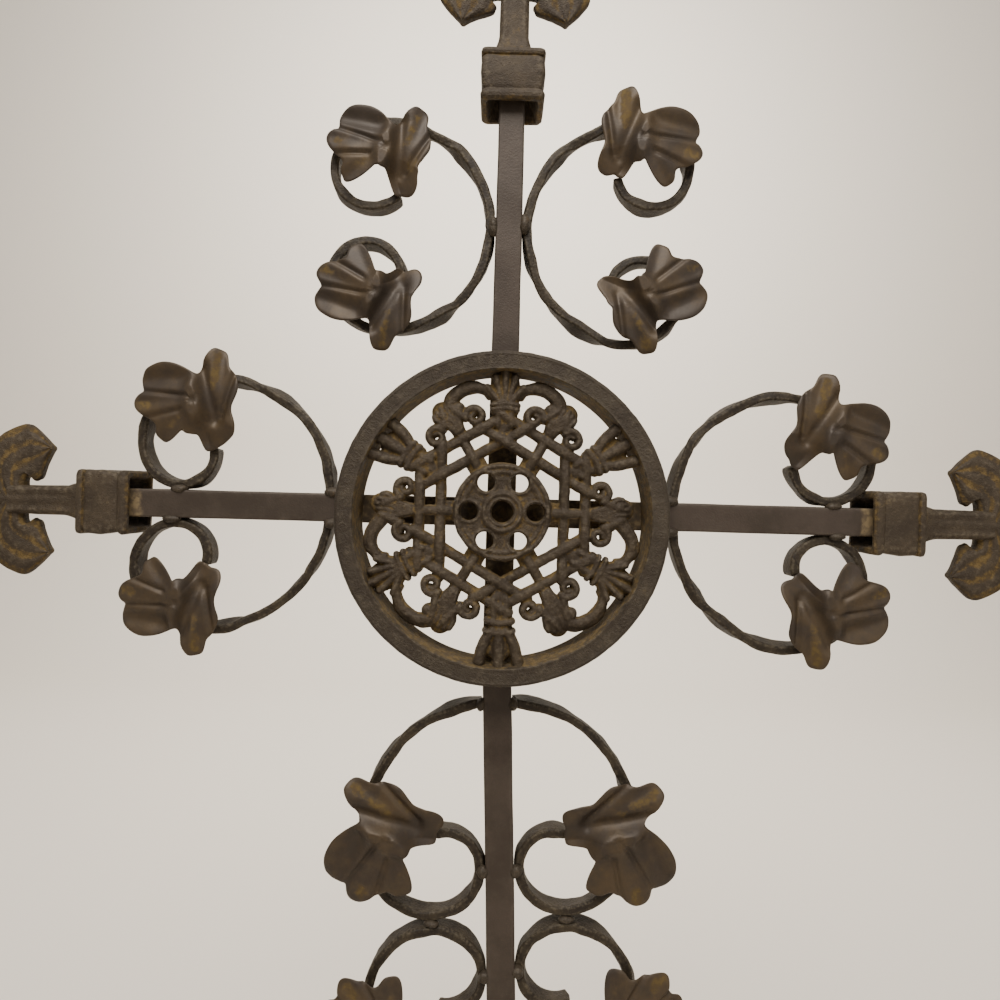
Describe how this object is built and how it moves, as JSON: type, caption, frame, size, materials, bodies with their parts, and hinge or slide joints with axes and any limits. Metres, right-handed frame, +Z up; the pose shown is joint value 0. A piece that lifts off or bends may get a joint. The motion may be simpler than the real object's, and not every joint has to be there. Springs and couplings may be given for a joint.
{
  "type": "cast iron cross",
  "caption": "Slender iron grave cross with a pierced ring medallion at the crossing, leaf-tipped scrolls along the bars and flower finials on three ends.",
  "frame": {"origin": "middle of the flat lower end of the upright, where it is cut off flat at the ground", "axes": "+Z up the cross, +X along the crossbar to the right arm seen from the front, -Y out of the front with the medallion"},
  "size_m": [0.651, 0.0488, 1.048],
  "materials": {
    "bar_iron": "dark brown-grey bar, satin with dust and light rust",
    "cast_iron": "grainy sand-cast skin, ochre rust in the recesses",
    "strip_iron": "hammered flat strip, olive-brown with ochre dust",
    "leaf_iron": "thin stamped sheet, satin brown-grey with rust patches"
  },
  "bodies": {
    "root": {"upright": "bar_iron", "crossbar": "bar_iron", "medallion": "cast_iron", "top_left_scroll": "strip_iron", "top_right_scroll": "strip_iron", "arm_left_upper_scroll": "strip_iron", "arm_left_lower_scroll": "strip_iron", "arm_right_upper_scroll": "strip_iron", "arm_right_lower_scroll": "strip_iron", "lower_left_scroll": "strip_iron", "lower_right_scroll": "strip_iron", "foot_left_scroll": "strip_iron", "foot_right_scroll": "strip_iron", "top_left_upper_leaf": "leaf_iron", "top_left_lower_leaf": "leaf_iron", "top_right_upper_leaf": "leaf_iron", "top_right_lower_leaf": "leaf_iron", "arm_left_upper_leaf": "leaf_iron", "arm_left_lower_leaf": "leaf_iron", "arm_right_upper_leaf": "leaf_iron", "arm_right_lower_leaf": "leaf_iron", "lower_left_leaf": "leaf_iron", "lower_right_leaf": "leaf_iron", "foot_left_leaf": "leaf_iron", "foot_right_leaf": "leaf_iron", "top_finial": "cast_iron", "left_finial": "cast_iron", "right_finial": "cast_iron"}
  },
  "joints": []
}
